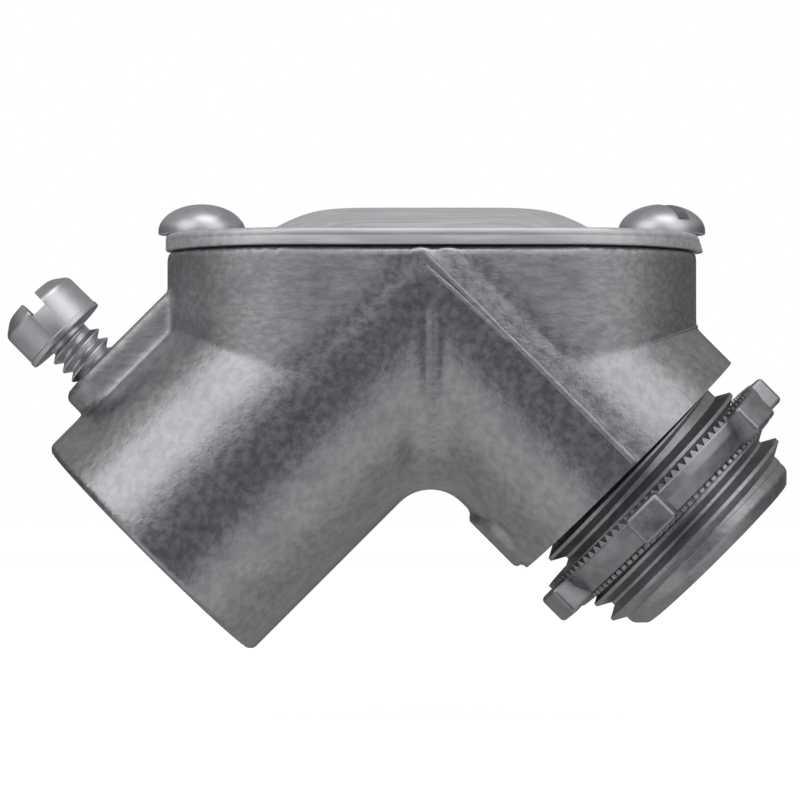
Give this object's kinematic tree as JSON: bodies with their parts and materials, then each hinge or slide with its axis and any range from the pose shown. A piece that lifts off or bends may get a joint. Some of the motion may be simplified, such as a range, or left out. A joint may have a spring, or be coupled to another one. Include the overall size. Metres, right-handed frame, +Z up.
{
  "type": "conduit pull elbow",
  "caption": "Right-angle cast elbow for thin-wall conduit: a clamping-screw socket, a threaded hub with its locknut, and a pressed cover plate over a wire-pulling well.",
  "frame": {"origin": "on the threaded hub's axis, in the plane of the shoulder that meets a box wall", "axes": "+Z up out of the access well, through the cover; +X to the side the threaded hub is on; both legs' axes lie in the plane Y = 0 and slope down at 45 degrees, the socket's to -X and the hub's to +X"},
  "size_m": [0.0659, 0.0272, 0.0375],
  "materials": {
    "cast_zinc": "as-cast zinc alloy, fine grain, semi-matt",
    "pressed_cover": "galvanized pressed sheet, satin",
    "plated_screw": "bright zinc plate",
    "plated_clamp": "bright zinc plate",
    "cast_zinc_nut": "as-cast zinc alloy, fine grain, semi-matt"
  },
  "bodies": {
    "elbow": {"elbow_casting": "cast_zinc"},
    "cover": {"cover_plate": "pressed_cover"},
    "left_screw": {"cover_screw_left": "plated_screw"},
    "right_screw": {"cover_screw_right": "plated_screw"},
    "clamp": {"clamping_screw": "plated_clamp"},
    "nut": {"locknut": "cast_zinc_nut"}
  },
  "joints": [
    {"name": "cover_lift", "type": "slide", "parent": "elbow", "child": "cover", "axis": [0, 0, 1], "range_m": [0, 0.025]},
    {"name": "left_screw_out", "type": "slide", "parent": "cover", "child": "left_screw", "axis": [0, 0, 1], "range_m": [0, 0.00635]},
    {"name": "right_screw_out", "type": "slide", "parent": "cover", "child": "right_screw", "axis": [0, 0, 1], "range_m": [0, 0.00635]},
    {"name": "clamp_drive", "type": "slide", "parent": "elbow", "child": "clamp", "axis": [-0.7071, 0, 0.7071], "range_m": [-0.0034, 0.0044]},
    {"name": "nut_run", "type": "slide", "parent": "elbow", "child": "nut", "axis": [0.7071, 0, -0.7071], "range_m": [-0.00235, 0.012]}
  ]
}
